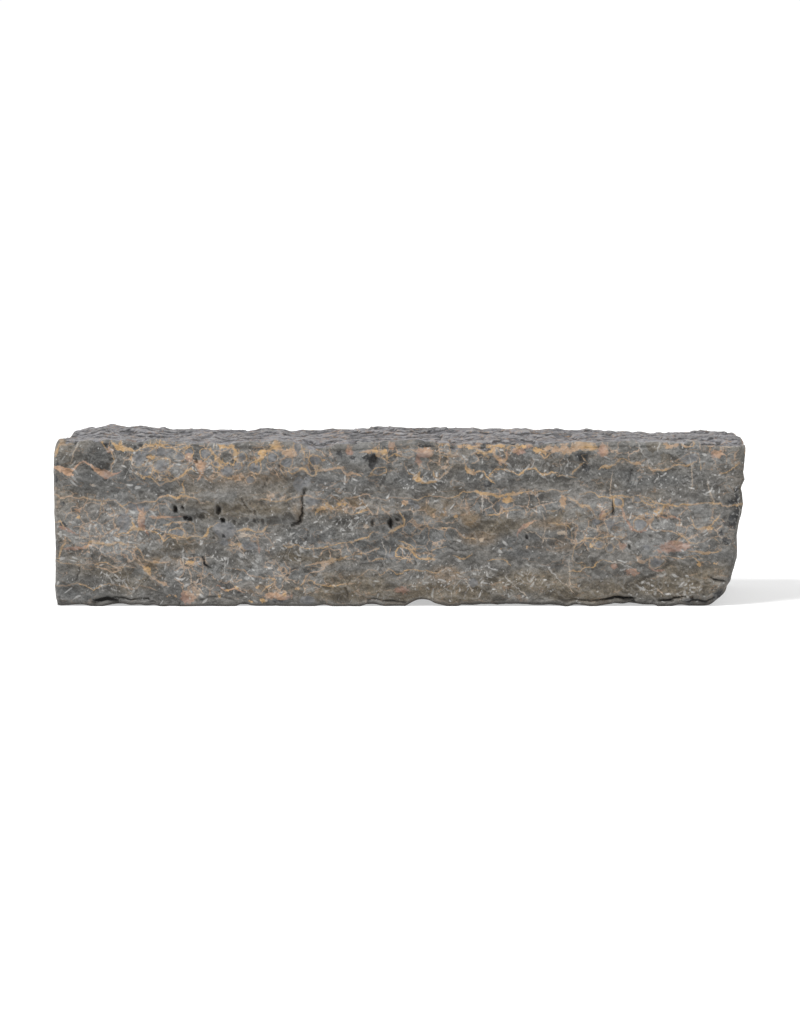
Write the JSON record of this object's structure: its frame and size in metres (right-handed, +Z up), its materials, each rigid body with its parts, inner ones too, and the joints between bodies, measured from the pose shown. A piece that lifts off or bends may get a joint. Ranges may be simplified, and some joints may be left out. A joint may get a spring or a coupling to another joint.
{
  "type": "marble block",
  "caption": "Rough-hewn rectangular block of grey marble with gold and pink veins, split faces, worn edges and a flat bed to rest on.",
  "frame": {"origin": "middle of the block's bounding box at its lowest face, on the bed it rests on", "axes": "+X along the block's length, +Y from the veined front face towards the back, +Z up"},
  "size_m": [1.1252, 0.3124, 0.2739],
  "materials": {
    "veined_marble": "split, unpolished grey marble with fine gold, pink and white veins"
  },
  "bodies": {
    "root": {"marble_block": "veined_marble"}
  },
  "joints": []
}
